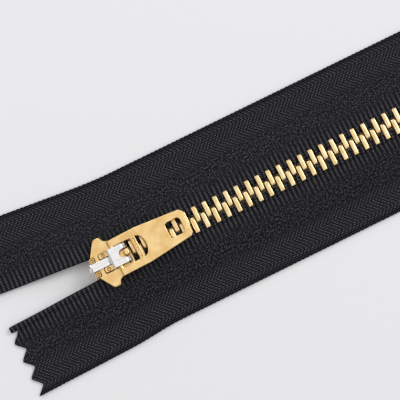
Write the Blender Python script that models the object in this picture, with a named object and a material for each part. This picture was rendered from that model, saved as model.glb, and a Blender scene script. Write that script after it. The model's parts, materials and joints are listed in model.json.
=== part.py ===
"""Closed-end metal zipper: woven tapes, brass chain, pin-lock slider and pull tab, all at real size.

Frame: +X runs down the zipper from the open (top) end to the closed (bottom) end, +Y to the left tape,
+Z up. X = 0 is the middle of the tapes' length, Y = 0 the chain's centre line, Z = 0 the surface that the
zipper lies on.
"""
import math

import bmesh
import bpy
from mathutils import Matrix, Vector

MM = 0.001
GAP = 0.30 * MM  # air left between two pieces that touch

# Overall sizes
CHAIN_LENGTH = 80.0 * MM  # top of the top stops to the end of the bottom stop
TOP_TAIL = 18.7 * MM  # tape beyond the slider's nose
BOTTOM_TAIL = 16.0 * MM  # tape beyond the bottom stop
TAPE_HALF_WIDTH = 15.0 * MM  # chain centre line to the tape's outer edge

# Tape and bead cord
TAPE_THICKNESS = 0.50 * MM
TAPE_FLOOR_GAP = 0.05 * MM
CORD_DIAMETER = 0.90 * MM
PINK_PITCH = 3.60 * MM  # one zigzag of the cut end
PINK_DEPTH = 1.75 * MM
TAIL_SPREAD = math.radians(3.8)  # each tail turns outwards by this much
MARGIN_WIDTH = 4.0 * MM  # flat stitching margin at the outer edge
LEVEL_WIDTH = 1.6 * MM  # tape beside the cord that stays level, inside the slider's slot
TAIL_LAY_DOWN = 13.0 * MM  # length over which a tail comes down to the floor
TAIL_LAY_START = 2.0 * MM  # from the slider's nose
FOOT_LAY_START = 1.0 * MM  # from the bottom stop
CORD_SHORT = 1.2 * MM  # the cord stops this much short of the pinked tips
SWING_ROOM = 0.7 * MM  # between the cords and the bottom stop, so that the sides can swing

# Teeth
TOOTH_PITCH = 2.15 * MM  # on one side; the other side stands half a pitch on
TOOTH_PLAY = 0.275 * MM  # air between a tooth and its neighbour on the other side
TOOTH_REACH = 0.65 * MM  # past the centre line, into the other side
TOOTH_HEAD = 1.15 * MM  # centre line to the slot for the cord
TOOTH_LEG = 0.40 * MM  # thickness of each leg that clamps the cord
TOOTH_CHAMFER = 0.40 * MM  # at the head
LEG_SHORT = 0.05 * MM  # the legs end this much before the cord does
FIRST_TOOTH = 0.80 * MM  # top stop to the middle of the first tooth
SEPARATE_TEETH = 23  # per side, counted from the slider; the rest are joined to their cord

# Stops
TOP_STOP_LENGTH = 1.6 * MM
TOP_STOP_WALL = 0.5 * MM  # between the cord's slot and the stop's inner face
BOTTOM_STOP_LENGTH = 2.6 * MM
BOTTOM_STOP_BEVEL = 0.25 * MM
STOP_OVERSIZE = 0.10 * MM  # a stop stands this much proud of the teeth

# Slider body
SLIDER_LENGTH = 7.5 * MM
NOSE_TO_STOPS = 1.6 * MM  # from the nose to the top stops when the zipper is closed
BLADE = 0.85 * MM  # thickness of the upper and the lower blade
WALL = 0.75 * MM  # thickness of the side flanges
CHANNEL_GAP = 0.22 * MM  # air round the teeth inside the slider
WING_FLARE = 1.5 * MM  # how much wider the wings are than the rear
BODY_BEVEL = 0.22 * MM
NOSE_HALF_WIDTH = 1.6 * MM
NOSE_CORNER = 0.4 * MM
WING_CORNER = 0.6 * MM
REAR_CORNER = 0.5 * MM
WING_FRONT = 2.4 * MM  # nose to where the wing is widest
WING_BACK = 3.4 * MM
NECK = 5.9 * MM  # nose to where the narrow rear begins
DIAMOND_HALF_WIDTH = 0.80 * MM
DIAMOND_LENGTH = 2.7 * MM
MOUTH_SPREAD = 0.70 * MM  # how far each cord has moved outwards at the mouth

# Pull tab
TAB_LENGTH = 14.4 * MM  # pivot to far end
TAB_HALF_WIDTH = 3.5 * MM
TAB_END_HALF_WIDTH = 2.4 * MM
TAB_THICKNESS = 1.0 * MM  # also the diameter of its bar
TAB_BEVEL = 0.15 * MM
TAB_WINDOW_LENGTH = 3.7 * MM
TAB_WINDOW_HALF_WIDTH = 2.10 * MM
TAB_WINDOW_CORNER = 0.3 * MM
TAB_CROSS_BAR = 0.9 * MM
TAB_D_HOLE_LENGTH = 1.35 * MM
TAB_D_HOLE_HALF_WIDTH = 2.05 * MM
TAB_SLOT_LENGTH = 2.9 * MM
TAB_SLOT_HALF_WIDTH = 1.5 * MM
TAB_SLOT_CORNER = 0.45 * MM
TAB_SLOT_TO_END = 1.1 * MM
TAB_CORNER = 0.65 * MM
TAB_SKEW = math.radians(3.0)  # the tab hangs a little askew on its bar
PIVOT_FROM_NOSE = 4.8 * MM
TAB_TO_BODY = 0.30 * MM  # air between the top of the body and the bar of the tab

# Lock spring
SPRING_THICKNESS = 0.35 * MM
SPRING_TONGUE_HALF_WIDTH = 0.72 * MM
SPRING_PLATE_HALF_WIDTH = 1.78 * MM
SPRING_ABOVE_BODY = 0.55 * MM  # middle of the tongue over the body's top
SPRING_HOOK = 1.6 * MM  # how far it reaches down in front of the nose
SPRING_BEND = 0.5 * MM  # size of its bends
SPRING_OVER_BAR = 0.25 * MM  # air between the plate and the tab's bar
NOTCH_GAP = 0.23 * MM  # air between the plate and the hook post
NOTCH_FRONT = 2.1 * MM  # from the body's rear end

# Lugs on the body
LUG_FRONT = 1.95 * MM  # from the nose
LUG_HEIGHT = 0.80 * MM
LUG_LENGTH = 1.5 * MM
LUG_GAP = 0.15 * MM  # air between the spring's tongue and the lugs
LUG_BEVEL = 0.18 * MM
NOSE_LUG_FRONT = 0.15 * MM
NOSE_LUG_HEIGHT = 0.35 * MM
NOSE_LUG_LENGTH = 0.8 * MM
HOOK_HALF_WIDTH = 0.60 * MM
HOOK_HEIGHT = 1.75 * MM
HOOK_LENGTH = 1.05 * MM
HOOK_TO_REAR = 0.1 * MM
HOOK_BEVEL = 0.3 * MM
PRONG_ROOM = 0.2 * MM  # air round each prong in its notch
PRONG_TO_REAR = 0.2 * MM

# Worked out from the sizes above
CORD_RADIUS = CORD_DIAMETER / 2
TOOTH_HEIGHT = CORD_DIAMETER + 2 * (GAP + TOOTH_LEG)
CORD_Y = TOOTH_HEAD + GAP + CORD_RADIUS
TOOTH_THICKNESS = TOOTH_PITCH / 2 - TOOTH_PLAY
TOOTH_END = CORD_Y + CORD_RADIUS - LEG_SHORT
TAPE_EDGE_Y = CORD_Y + CORD_RADIUS + GAP
TOTAL_LENGTH = TOP_TAIL + NOSE_TO_STOPS + CHAIN_LENGTH + BOTTOM_TAIL
TOP_X = -TOTAL_LENGTH / 2
BOTTOM_X = TOTAL_LENGTH / 2
NOSE_X = TOP_X + TOP_TAIL
REAR_X = NOSE_X + SLIDER_LENGTH
CHAIN_TOP_X = NOSE_X + NOSE_TO_STOPS
CHAIN_END_X = CHAIN_TOP_X + CHAIN_LENGTH
STOP_X = CHAIN_END_X - BOTTOM_STOP_LENGTH
FIRST_TOOTH_X = CHAIN_TOP_X + TOP_STOP_LENGTH + FIRST_TOOTH
TEETH_PER_SIDE = 1 + int((STOP_X - FIRST_TOOTH_X - TOOTH_PITCH) / TOOTH_PITCH)
CHANNEL_HEIGHT = TOOTH_HEIGHT + 2 * CHANNEL_GAP
BODY_HEIGHT = CHANNEL_HEIGHT + 2 * BLADE
CHAIN_Z = BODY_HEIGHT / 2
SLOT_HEIGHT = TAPE_THICKNESS + 2 * GAP
REAR_INNER = TOOTH_END + CHANNEL_GAP
WING_INNER = REAR_INNER + WING_FLARE
REAR_HALF_WIDTH = REAR_INNER + WALL
WING_HALF_WIDTH = WING_INNER + WALL
CLOSED_X = NOSE_X + NECK - REAR_CORNER  # from here on the chain is closed
PIVOT_X = NOSE_X + PIVOT_FROM_NOSE
PIVOT_Z = BODY_HEIGHT + TAB_TO_BODY + TAB_THICKNESS / 2
NOTCH_HALF_WIDTH = HOOK_HALF_WIDTH + NOTCH_GAP
PRONG_X = REAR_X - PRONG_TO_REAR - SPRING_THICKNESS / 2
RAMP_START_Y = TAPE_EDGE_Y + LEVEL_WIDTH
RAMP_END_Y = TAPE_HALF_WIDTH - MARGIN_WIDTH


def clear_scene():
    for thing in list(bpy.data.objects):
        bpy.data.objects.remove(thing)


def material(name, colour, roughness, metallic):
    made = bpy.data.materials.new(name)
    made.use_nodes = True
    shader = made.node_tree.nodes["Principled BSDF"]
    shader.inputs["Base Color"].default_value = (*colour, 1.0)
    shader.inputs["Roughness"].default_value = roughness
    shader.inputs["Metallic"].default_value = metallic
    made.diffuse_color = (*colour, 1.0)
    return made


def mesh_object(name, bm, finish, location=(0, 0, 0), turn=0.0):
    """One object from a bmesh, with its origin at location and turned about Z."""
    bmesh.ops.recalc_face_normals(bm, faces=bm.faces)
    mesh = bpy.data.meshes.new(name)
    bm.to_mesh(mesh)
    bm.free()
    mesh.materials.append(finish)
    return place(name, mesh, location, turn)


def place(name, mesh, location=(0, 0, 0), turn=0.0):
    thing = bpy.data.objects.new(name, mesh)
    thing.location = location
    thing.rotation_euler = (0, 0, turn)
    bpy.context.collection.objects.link(thing)
    return thing


def helper(thing):
    """Hides a cutter or a shape that is joined into another object."""
    thing.hide_render = True
    thing.display_type = "WIRE"
    return thing


def boolean(target, other, operation):
    step = target.modifiers.new(other.name, "BOOLEAN")
    step.operation = operation
    step.object = helper(other)


def plate(outline, low, high, holes=(), bevel=0.0):
    """A flat plate between two heights, with holes, and its rims bevelled."""
    bm = bmesh.new()
    for loop in (outline, *holes):
        points = [bm.verts.new((x, y, low)) for x, y in loop]
        for a, b in zip(points, points[1:] + points[:1]):
            bm.edges.new((a, b))
    bmesh.ops.triangle_fill(bm, edges=bm.edges, use_beauty=True)
    raised = bmesh.ops.extrude_face_region(bm, geom=bm.faces[:])["geom"]
    bmesh.ops.translate(
        bm, vec=(0, 0, high - low), verts=[v for v in raised if isinstance(v, bmesh.types.BMVert)]
    )
    bmesh.ops.recalc_face_normals(bm, faces=bm.faces)
    if bevel:
        rims = [
            e
            for e in bm.edges
            if abs(e.verts[0].co.z - e.verts[1].co.z) < 1e-7 and e.calc_face_angle() > 0.5
        ]
        bmesh.ops.bevel(bm, geom=rims, offset=bevel, segments=1, affect="EDGES")
    return bm


def block(low, high, bevel=0.0):
    """A box between two corners, its upper edges bevelled."""
    corners = [(low[0], low[1]), (high[0], low[1]), (high[0], high[1]), (low[0], high[1])]
    bm = plate(corners, low[2], high[2])
    if bevel:
        upper = [e for e in bm.edges if min(v.co.z for v in e.verts) > high[2] - 1e-7]
        rim = [e for e in upper if e.calc_face_angle() > 0.5]
        bmesh.ops.bevel(bm, geom=rim, offset=bevel, segments=1, affect="EDGES")
    return bm


def arc(centre, radii, start, end, steps):
    """Points on an ellipse's arc, angles in degrees."""
    angles = [math.radians(start + (end - start) * k / steps) for k in range(steps + 1)]
    return [(centre[0] + radii[0] * math.cos(a), centre[1] + radii[1] * math.sin(a)) for a in angles]


def mirrored(half):
    """A whole outline from its half on the +Y side."""
    return half + [(x, -y) for x, y in reversed(half) if abs(y) > 1e-9]


def rounded_box(x0, x1, half_width, corner):
    half = arc((x0 + corner, half_width - corner), (corner, corner), 180, 90, 3)
    half += arc((x1 - corner, half_width - corner), (corner, corner), 90, 0, 3)
    return mirrored(half)


def smooth(t):
    t = min(max(t, 0.0), 1.0)
    return t * t * (3 - 2 * t)


def spread(x):
    """How far a side of the chain and its tape lie outwards at x: nothing where the chain is closed."""
    mouth = NOSE_X
    if x > mouth:
        return MOUTH_SPREAD * smooth((CLOSED_X - x) / (CLOSED_X - mouth))
    return MOUTH_SPREAD + (mouth - x) * math.tan(TAIL_SPREAD)


def spread_turn(x):
    step = 0.05 * MM
    return math.atan((spread(x - step) - spread(x + step)) / (2 * step))


def lift(x):
    """1 where the slider and the stop hold the chain up, 0 where a tail lies on the floor."""
    top = smooth((x - NOSE_X + TAIL_LAY_START + TAIL_LAY_DOWN) / TAIL_LAY_DOWN)
    bottom = smooth((CHAIN_END_X + FOOT_LAY_START + TAIL_LAY_DOWN - x) / TAIL_LAY_DOWN)
    return top * bottom


def tape_z(x, y):
    """Height of the middle of the tape, for a distance y from the chain's centre line."""
    low = TAPE_FLOOR_GAP + TAPE_THICKNESS / 2
    ramp = smooth((RAMP_END_Y - y) / (RAMP_END_Y - RAMP_START_Y))
    return low + (CHAIN_Z - low) * lift(x) * ramp


def tape(name, side, stations, pinked_at, finish):
    """A woven tape between the x stations, cut in a zigzag at the station pinked_at."""
    columns = 2 * max(2, round((TAPE_HALF_WIDTH - TAPE_EDGE_Y) / PINK_PITCH - 0.5)) + 1
    bm = bmesh.new()
    rows = []
    for x in stations:
        row = []
        for k in range(columns + 1):
            y = TAPE_EDGE_Y + (TAPE_HALF_WIDTH - TAPE_EDGE_Y) * k / columns
            valley = PINK_DEPTH if x == pinked_at and k % 2 == 0 else 0.0
            at = x + math.copysign(valley, -x)
            row.append(bm.verts.new((at, side * (y + spread(at)), tape_z(at, y))))
        rows.append(row)
    for a, b in zip(rows, rows[1:]):
        for k in range(columns):
            bm.faces.new((a[k], b[k], b[k + 1], a[k + 1]))
    made = mesh_object(name, bm, finish)
    thick = made.modifiers.new("weave thickness", "SOLIDIFY")
    thick.thickness = TAPE_THICKNESS
    thick.offset = 0
    return made


def tube(points, radius, sides=8):
    """A round cord through the points, with flat ends."""
    bm = bmesh.new()
    rings = []
    for k, p in enumerate(points):
        along = (points[min(k + 1, len(points) - 1)] - points[max(k - 1, 0)]).normalized()
        across = along.cross(Vector((0, 0, 1))).normalized()
        up = across.cross(along)
        angles = [2 * math.pi * (n + 0.5) / sides for n in range(sides)]
        rings.append([bm.verts.new(p + radius * (across * math.cos(a) + up * math.sin(a))) for a in angles])
    for a, b in zip(rings, rings[1:]):
        for n in range(sides):
            bm.faces.new((a[n], a[(n + 1) % sides], b[(n + 1) % sides], b[n]))
    bm.faces.new(rings[0])
    bm.faces.new(rings[-1])
    return bm


def cord_points(side, start, end, spacing=2.0 * MM):
    """The bead cord's centre line, on the floor at the tails and level along the chain."""
    steps = max(2, math.ceil((end - start) / spacing))
    low = CORD_RADIUS + TAPE_FLOOR_GAP
    points = []
    for k in range(steps + 1):
        x = start + (end - start) * k / steps
        z = low + (CHAIN_Z - low) * lift(x)
        points.append(Vector((x, side * (CORD_Y + spread(x)), z)))
    return points


def cross_section(profile, side, length):
    """A solid of this length along X about its own middle, from a profile in (y, z)."""
    bm = plate([(side * y, z) for y, z in profile], -length / 2, length / 2)
    turned = Matrix(((0, 0, 1, 0), (1, 0, 0, 0), (0, 1, 0, 0), (0, 0, 0, 1)))
    bmesh.ops.transform(bm, matrix=turned, verts=bm.verts)
    return bm


def clamp_profile(inner, half, chamfer, slotted):
    """The side view of a tooth or a top stop: a head, and two legs with a slot for the cord."""
    slot = CORD_RADIUS + GAP
    legs = [(TOOTH_END, -slot), (TOOTH_HEAD, -slot), (TOOTH_HEAD, slot), (TOOTH_END, slot)]
    head = [(inner, half - chamfer), (inner, -half + chamfer), (inner + chamfer, -half)]
    lower = [*head, (TOOTH_END, -half), *(legs if slotted else [])]
    return [*lower, (TOOTH_END, half), (inner + chamfer, half)]


def tooth_mesh(name, side, finish, slotted):
    """One tooth, whose head reaches past the centre line between two teeth of the other side."""
    profile = clamp_profile(-TOOTH_REACH, TOOTH_HEIGHT / 2, TOOTH_CHAMFER, slotted)
    bm = cross_section(profile, side, TOOTH_THICKNESS)
    bmesh.ops.recalc_face_normals(bm, faces=bm.faces)
    mesh = bpy.data.meshes.new(name)
    bm.to_mesh(mesh)
    bm.free()
    mesh.materials.append(finish)
    return mesh


def tooth_places(side):
    """Where each tooth of a side stands, as x, y and turn; the right side is half a pitch on."""
    shift = 0.0 if side > 0 else TOOTH_PITCH / 2
    for k in range(TEETH_PER_SIDE):
        x = FIRST_TOOTH_X + shift + k * TOOTH_PITCH
        yield x, side * spread(x), -side * spread_turn(x)


def chain_side(word, side, brass, cotton):
    """A side's bead cord and its teeth."""
    points = cord_points(side, TOP_X + CORD_SHORT, STOP_X - SWING_ROOM)
    cord = mesh_object(f"{word}_bead_cord", tube(points, CORD_RADIUS), cotton)
    separate = tooth_mesh(f"{word}_tooth", side, brass, slotted=True)
    joined = tooth_mesh(f"{word}_joined_tooth", side, brass, slotted=False)
    for k, (x, y, turn) in enumerate(tooth_places(side), start=1):
        if k <= SEPARATE_TEETH:
            place(f"{word}_tooth_{k:02d}", separate, (x, y, CHAIN_Z), turn)
        else:
            boolean(cord, place(f"{word} joined {k}", joined, (x, y, CHAIN_Z), turn), "UNION")


def stops(brass):
    """Two top stops clamped on the cords, and the bottom stop across both."""
    half = TOOTH_HEIGHT / 2 + STOP_OVERSIZE
    middle = CHAIN_TOP_X + TOP_STOP_LENGTH / 2
    profile = clamp_profile(TOOTH_HEAD - TOP_STOP_WALL, half, STOP_OVERSIZE, slotted=True)
    for word, side in (("left", 1), ("right", -1)):
        bm = cross_section(profile, side, TOP_STOP_LENGTH)
        at = (middle, side * spread(middle), CHAIN_Z)
        mesh_object(f"{word}_top_stop", bm, brass, at, -side * spread_turn(middle))
    edge = TAPE_EDGE_Y - GAP
    low, high = (STOP_X, -edge, CHAIN_Z - half), (CHAIN_END_X, edge, CHAIN_Z + half)
    mesh_object("bottom_stop", block(low, high, BOTTOM_STOP_BEVEL), brass)


def wing_half(half_rear, half_wing):
    """The +Y side of the slider's waist, from the widest point back to the narrow rear."""
    length = NECK - WING_BACK
    return arc((NOSE_X + NECK, half_wing), (-length, -(half_wing - half_rear)), 0, 90, 6)


def diamond_half():
    """The +Y side of the wedge between the two channels, from its tip to in front of the nose."""
    return [
        (NOSE_X + DIAMOND_LENGTH, 0.0),
        (NOSE_X + 0.55 * DIAMOND_LENGTH, DIAMOND_HALF_WIDTH),
        (NOSE_X - 3 * WALL, DIAMOND_HALF_WIDTH),
    ]


def body_outline():
    """The casting seen from above: narrow nose, wide wings, hollow waist and narrow rear."""
    wing_x = NOSE_X + WING_FRONT
    half = [
        (NOSE_X, NOSE_HALF_WIDTH),
        (NOSE_X + NOSE_CORNER, NOSE_HALF_WIDTH + NOSE_CORNER),
        (wing_x - WING_CORNER, WING_HALF_WIDTH - WING_CORNER),
        (wing_x - WING_CORNER / 2, WING_HALF_WIDTH - WING_CORNER / 5),
        (wing_x, WING_HALF_WIDTH),
        *wing_half(REAR_HALF_WIDTH, WING_HALF_WIDTH),
    ]
    corner = (REAR_X - REAR_CORNER, REAR_HALF_WIDTH - REAR_CORNER)
    return mirrored(half + arc(corner, (REAR_CORNER, REAR_CORNER), 90, 0, 3))


def slider_body(brass):
    """The casting: two blades joined by the wedge at the nose, with flanges, lugs and a hook post."""
    body = mesh_object("slider_body", plate(body_outline(), 0.0, BODY_HEIGHT, bevel=BODY_BEVEL), brass)

    def cut(name, outline, height):
        cutter = plate(mirrored(outline), CHAIN_Z - height / 2, CHAIN_Z + height / 2)
        boolean(body, mesh_object(name, cutter, brass), "DIFFERENCE")

    def add(name, x, length, ys, height, bevel):
        low = (x, min(ys), BODY_HEIGHT - BLADE / 2)
        high = (x + length, max(ys), BODY_HEIGHT + height)
        boolean(body, mesh_object(name, block(low, high, bevel), brass), "UNION")

    before, behind = NOSE_X - 3 * WALL, REAR_X + 3 * WALL
    outside = WING_HALF_WIDTH + 3 * WALL
    channel = [(before, WING_INNER), *wing_half(REAR_INNER, WING_INNER), (behind, REAR_INNER)]
    cut("chain channel", diamond_half() + channel, CHANNEL_HEIGHT)
    cut("tape slot", diamond_half() + [(before, outside), (behind, outside)], SLOT_HEIGHT)

    lug_ys = SPRING_TONGUE_HALF_WIDTH + LUG_GAP, SPRING_PLATE_HALF_WIDTH
    prong_ys = NOTCH_HALF_WIDTH - PRONG_ROOM, SPRING_PLATE_HALF_WIDTH + PRONG_ROOM
    prong_x = PRONG_X - SPRING_THICKNESS / 2 - 2 * PRONG_ROOM
    for word, side in (("left", 1), ("right", -1)):
        ys = [side * y for y in lug_ys]
        add(f"{word} lug", NOSE_X + LUG_FRONT, LUG_LENGTH, ys, LUG_HEIGHT, LUG_BEVEL)
        add(f"{word} nose lug", NOSE_X + NOSE_LUG_FRONT, NOSE_LUG_LENGTH, ys, NOSE_LUG_HEIGHT, LUG_BEVEL)
        ys = sorted(side * y for y in prong_ys)
        low = (prong_x, ys[0], BODY_HEIGHT - 1.5 * BLADE)
        notch = block(low, (behind, ys[1], BODY_HEIGHT + BLADE))
        boolean(body, mesh_object(f"{word} prong notch", notch, brass), "DIFFERENCE")
    hook_x = REAR_X - HOOK_TO_REAR - HOOK_LENGTH
    add("hook post", hook_x, HOOK_LENGTH, (-HOOK_HALF_WIDTH, HOOK_HALF_WIDTH), HOOK_HEIGHT, HOOK_BEVEL)


def strip(stations, thickness):
    """A bent strip: stations are (x, z, half width) on its middle surface."""
    bm = bmesh.new()
    rings = []
    for k, (x, z, half) in enumerate(stations):
        before, after = stations[max(k - 1, 0)], stations[min(k + 1, len(stations) - 1)]
        along = Vector((after[0] - before[0], 0, after[1] - before[1])).normalized()
        up = Vector((-along.z, 0, along.x)) * thickness / 2
        at = Vector((x, 0, z))
        corners = [(-half, -1), (half, -1), (half, 1), (-half, 1)]
        rings.append([bm.verts.new(at + Vector((0, y, 0)) + up * way) for y, way in corners])
    for a, b in zip(rings, rings[1:]):
        for n in range(4):
            bm.faces.new((a[n], a[(n + 1) % 4], b[(n + 1) % 4], b[n]))
    bm.faces.new(rings[0])
    bm.faces.new(rings[-1])
    return bm


def lock_spring(nickel):
    """The lock spring: hooked round the nose, over the lugs and the tab's bar, with prongs at the rear."""
    tongue, wide, bend = SPRING_TONGUE_HALF_WIDTH, SPRING_PLATE_HALF_WIDTH, SPRING_BEND
    tongue_z = BODY_HEIGHT + SPRING_ABOVE_BODY
    plate_z = PIVOT_Z + TAB_THICKNESS / 2 + SPRING_OVER_BAR + SPRING_THICKNESS / 2
    front = NOSE_X - GAP - SPRING_THICKNESS / 2
    riser = PIVOT_X - TAB_THICKNESS / 2 - GAP - SPRING_THICKNESS
    stations = [
        (front, BODY_HEIGHT - SPRING_HOOK, tongue),
        (front, tongue_z - 1.4 * bend, tongue),
        (front + 0.25 * bend, tongue_z - 0.6 * bend, tongue),
        (front + bend, tongue_z, tongue),
        (riser - bend, tongue_z, tongue),
        (riser - 0.6 * bend, tongue_z + 0.3 * bend, tongue),
        (riser - 0.2 * bend, plate_z - 0.6 * bend, wide),
        (riser + 0.5 * bend, plate_z, wide),
        (PRONG_X - bend, plate_z, wide),
        (PRONG_X - 0.2 * bend, plate_z - 0.7 * bend, wide),
        (PRONG_X, plate_z - 1.6 * bend, wide),
        (PRONG_X, BODY_HEIGHT - 0.9 * BLADE, wide),
    ]
    spring = mesh_object("lock_spring", strip(stations, SPRING_THICKNESS), nickel)
    low = (REAR_X - NOTCH_FRONT, -NOTCH_HALF_WIDTH, BODY_HEIGHT - 2 * BLADE)
    high = (REAR_X + WALL, NOTCH_HALF_WIDTH, plate_z + 2 * SPRING_THICKNESS)
    boolean(spring, mesh_object("spring notch", block(low, high), nickel), "DIFFERENCE")


def tab_outline():
    """The tab seen from above, from its bar to its chamfered end, with its D-shaped hole and its slot."""
    hole_x = TAB_WINDOW_LENGTH + TAB_CROSS_BAR
    half = [
        (0.0, TAB_HALF_WIDTH),
        (hole_x + TAB_D_HOLE_LENGTH / 2, TAB_HALF_WIDTH),
        (TAB_LENGTH - TAB_CORNER, TAB_END_HALF_WIDTH),
        (TAB_LENGTH, TAB_END_HALF_WIDTH - TAB_CORNER),
    ]
    curve = arc((hole_x, 0), (TAB_D_HOLE_LENGTH, TAB_D_HOLE_HALF_WIDTH), 78, 0, 7)
    d_hole = mirrored([(hole_x, TAB_D_HOLE_HALF_WIDTH), *curve])
    slot_end = TAB_LENGTH - TAB_SLOT_TO_END
    slot = rounded_box(slot_end - TAB_SLOT_LENGTH, slot_end, TAB_SLOT_HALF_WIDTH, TAB_SLOT_CORNER)
    return mirrored(half), (d_hole, slot)


def pull_tab(brass):
    """The stamped tab, drawn from its bar at the origin and laid down on the chain."""
    half = TAB_THICKNESS / 2
    outline, holes = tab_outline()
    tab = mesh_object("pull_tab", plate(outline, -half, half, holes, TAB_BEVEL), brass)
    window = rounded_box(-TAB_THICKNESS, TAB_WINDOW_LENGTH, TAB_WINDOW_HALF_WIDTH, TAB_WINDOW_CORNER)
    cutter = mesh_object("tab window", plate(window, -TAB_THICKNESS, TAB_THICKNESS), brass)
    bm = bmesh.new()
    across = Matrix.Rotation(math.pi / 2, 4, "X")
    bmesh.ops.create_cone(
        bm, cap_ends=True, segments=12, radius1=half, radius2=half, depth=2 * TAB_HALF_WIDTH, matrix=across
    )
    bar = mesh_object("tab bar", bm, brass)
    boolean(tab, cutter, "DIFFERENCE")
    boolean(tab, bar, "UNION")
    drop = PIVOT_Z - CHAIN_Z - TOOTH_HEIGHT / 2 - GAP - half
    laid = Matrix.Rotation(TAB_SKEW, 4, "Z") @ Matrix.Rotation(math.asin(drop / TAB_LENGTH), 4, "Y")
    for thing in (tab, cutter, bar):
        thing.matrix_world = Matrix.Translation((PIVOT_X, 0, PIVOT_Z)) @ laid


def main():
    clear_scene()
    brass = material("polished brass", (0.77, 0.48, 0.16), 0.28, 1.0)
    nickel = material("nickel plate", (0.72, 0.71, 0.69), 0.25, 1.0)
    weave = material("black polyester weave", (0.012, 0.012, 0.015), 0.9, 0.0)
    cotton = material("black bead cord", (0.014, 0.014, 0.017), 0.9, 0.0)

    near_slider = [TOP_X + (CLOSED_X - TOP_X) * k / 14 for k in range(15)]
    tape_end = STOP_X - GAP
    along_chain = [CLOSED_X + (tape_end - CLOSED_X) * k / 4 for k in range(1, 5)]
    foot_start = CHAIN_END_X + GAP
    foot = [foot_start + (BOTTOM_X - foot_start) * k / 5 for k in range(6)]
    for word, side in (("left", 1), ("right", -1)):
        tape(f"{word}_tape", side, near_slider + along_chain, TOP_X, weave)
        tape(f"{word}_tape_foot", side, foot, foot[-1], weave)
        chain_side(word, side, brass, cotton)
    stops(brass)
    slider_body(brass)
    lock_spring(nickel)
    pull_tab(brass)


main()
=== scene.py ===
import json
import math

import bmesh
import bpy
from mathutils import Matrix, Vector


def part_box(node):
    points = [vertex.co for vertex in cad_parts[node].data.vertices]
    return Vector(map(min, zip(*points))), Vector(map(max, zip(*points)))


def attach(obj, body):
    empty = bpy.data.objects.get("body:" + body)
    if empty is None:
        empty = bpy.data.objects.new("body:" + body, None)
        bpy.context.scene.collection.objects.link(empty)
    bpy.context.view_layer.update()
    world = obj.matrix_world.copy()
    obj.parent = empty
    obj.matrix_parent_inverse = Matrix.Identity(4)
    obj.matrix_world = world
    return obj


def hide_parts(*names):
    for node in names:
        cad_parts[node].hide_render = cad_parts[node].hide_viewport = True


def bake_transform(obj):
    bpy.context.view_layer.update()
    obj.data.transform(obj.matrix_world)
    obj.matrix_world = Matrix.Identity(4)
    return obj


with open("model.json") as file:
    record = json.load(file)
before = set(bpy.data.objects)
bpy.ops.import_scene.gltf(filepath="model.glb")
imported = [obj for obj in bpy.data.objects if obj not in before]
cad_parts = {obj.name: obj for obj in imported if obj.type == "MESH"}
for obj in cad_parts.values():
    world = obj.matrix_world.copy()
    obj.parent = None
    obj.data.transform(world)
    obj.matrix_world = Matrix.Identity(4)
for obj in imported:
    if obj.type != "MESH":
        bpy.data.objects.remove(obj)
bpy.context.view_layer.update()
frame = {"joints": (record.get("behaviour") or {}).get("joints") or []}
mm = 0.001


def spanOf(node, axis):
    lowest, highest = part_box(node)
    return lowest[axis], highest[axis]


def middleOf(node, axis):
    return sum(spanOf(node, axis)) / 2


def jointPlace(name):
    joint = next(j for j in frame["joints"] if j["name"] == name)
    return Vector(joint["pos_m"]), Vector(joint["axis"])


# places that every piece is set out from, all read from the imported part
topX = spanOf("left_tape", 0)[0]
bottomX = spanOf("left_tape_foot", 0)[1]
noseX, rearX = spanOf("slider_body", 0)
wingHalf = spanOf("slider_body", 1)[1]
stopX, chainEndX = spanOf("bottom_stop", 0)
chainZ = middleOf("bottom_stop", 2)
bodyTop = 2 * chainZ
pivot, tabAxis = jointPlace("pull_tab_swing")

zipper = {
    "pitch": (middleOf("left_tooth_20", 0) - middleOf("left_tooth_10", 0)) / 10,
    "tapeHalf": 15.0 * mm,  # chain centre line to the outer edge
    "cordY": 1.9 * mm,
    "mouthSpread": 0.7 * mm,  # each side's shift at the slider's mouth
    "tailTurn": {1: math.radians(5.8), -1: math.radians(1.4)},  # each tail's lie on the table
    "closedFromNose": 5.4 * mm,
    "edgeLag": 0.35,  # share of the distance outwards by which the turn starts earlier
    "flatEdge": 4.0 * mm,  # the outer edge lies on the table over this width
    "levelWidth": 4.25 * mm,  # from the centre line, level with the chain
    "tableZ": 0.3 * mm,  # the middle of the cloth where it lies on the table
    "carriedAtNose": 2.0 * mm,  # beyond the slider and the stop, before the tails sink
    "carriedAtStop": 1.0 * mm,
    "layDown": 13.0 * mm,
    "swingsUpTo": 1.5 * mm,  # before the bottom stop
    "stillFrom": 8.0 * mm,  # after it
}
firstToothX = middleOf("left_tooth_10", 0) - 9 * zipper["pitch"]
teethPerSide = 1 + int((stopX - firstToothX - zipper["pitch"]) / zipper["pitch"])
separateTeeth = 23  # on each side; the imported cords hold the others
closedX = noseX + zipper["closedFromNose"]


def smooth(t):
    t = min(max(t, 0.0), 1.0)
    return t * t * (3 - 2 * t)


def spread(x, side, y=0.0):
    # how far each side lies outwards: nothing where the chain is closed, then a curve into the straight tail,
    # which starts earlier towards the tape's outer edge
    slope = math.tan(zipper["tailTurn"][side])
    if x <= noseX:
        return zipper["mouthSpread"] + (noseX - x) * slope
    reach = closedX - noseX + zipper["edgeLag"] * y
    t = max(0.0, 1 - (x - noseX) / reach)
    return zipper["mouthSpread"] * smooth(t) + reach * slope * t * t * (t - 1)


def spreadTurn(x, side):
    step = 0.05 * mm
    return math.atan((spread(x - step, side) - spread(x + step, side)) / (2 * step))


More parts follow.
